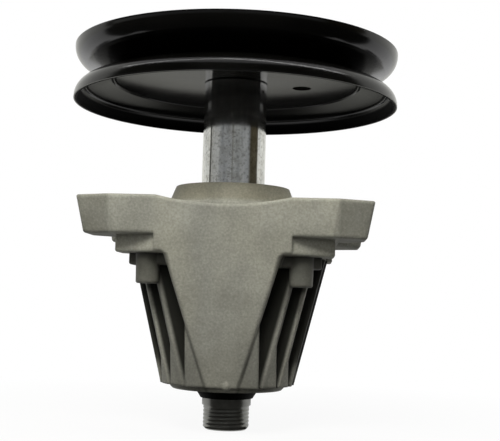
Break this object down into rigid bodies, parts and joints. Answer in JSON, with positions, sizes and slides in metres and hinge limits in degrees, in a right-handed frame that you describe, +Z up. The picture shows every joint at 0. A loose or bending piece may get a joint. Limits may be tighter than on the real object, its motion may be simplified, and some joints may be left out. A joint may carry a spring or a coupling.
{
  "type": "mower deck spindle",
  "caption": "Mower deck spindle: finned cast housing on bearings carrying a shaft with a V-belt pulley above, a spacer tube and a blade thread below.",
  "frame": {"origin": "middle of the bolt pattern on the flange's upper, deck mounting face", "axes": "+Z up the shaft to the pulley, -Y out of the front V wall, X along the longer side of the flange"},
  "size_m": [0.1588, 0.1588, 0.1919],
  "materials": {
    "cast_aluminium": "as cast",
    "black_paint": "gloss",
    "zinc_steel": "zinc plated",
    "dark_steel": "oiled",
    "black_steel": "matt",
    "bearing_steel": "ground",
    "spring_steel": "phosphated",
    "seal_rubber": "matt"
  },
  "bodies": {
    "housing": {"spindle_housing": "cast_aluminium", "upper_retaining_ring": "spring_steel", "lower_retaining_ring": "spring_steel", "upper_bearing_outer_ring": "bearing_steel", "lower_bearing_outer_ring": "bearing_steel", "upper_bearing_seals": "seal_rubber", "lower_bearing_seals": "seal_rubber"},
    "spindle": {"spindle_shaft": "dark_steel", "spacer_tube": "zinc_steel", "inner_spacer": "zinc_steel", "dust_ring": "black_steel", "pulley_upper_half": "black_paint", "pulley_lower_half": "black_paint", "pulley_washer": "zinc_steel", "pulley_nut": "zinc_steel", "upper_bearing_inner_ring": "bearing_steel", "lower_bearing_inner_ring": "bearing_steel"},
    "upper_ball_set": {"upper_bearing_balls": "bearing_steel", "upper_bearing_cage": "zinc_steel"},
    "lower_ball_set": {"lower_bearing_balls": "bearing_steel", "lower_bearing_cage": "zinc_steel"}
  },
  "joints": [
    {"name": "spindle_spin", "type": "hinge", "parent": "housing", "child": "spindle", "pos_m": [0, 0, 0], "axis": [0, 0, 1], "continuous": true},
    {"name": "upper_balls_roll", "type": "hinge", "parent": "housing", "child": "upper_ball_set", "pos_m": [0, 0, -0.001], "axis": [0, 0, 1], "continuous": true},
    {"name": "lower_balls_roll", "type": "hinge", "parent": "housing", "child": "lower_ball_set", "pos_m": [0, 0, -0.0775], "axis": [0, 0, 1], "continuous": true}
  ],
  "couplings": [
    {"joint": "upper_balls_roll", "follows": "spindle_spin", "ratio": 0.40833},
    {"joint": "lower_balls_roll", "follows": "spindle_spin", "ratio": 0.40833}
  ]
}
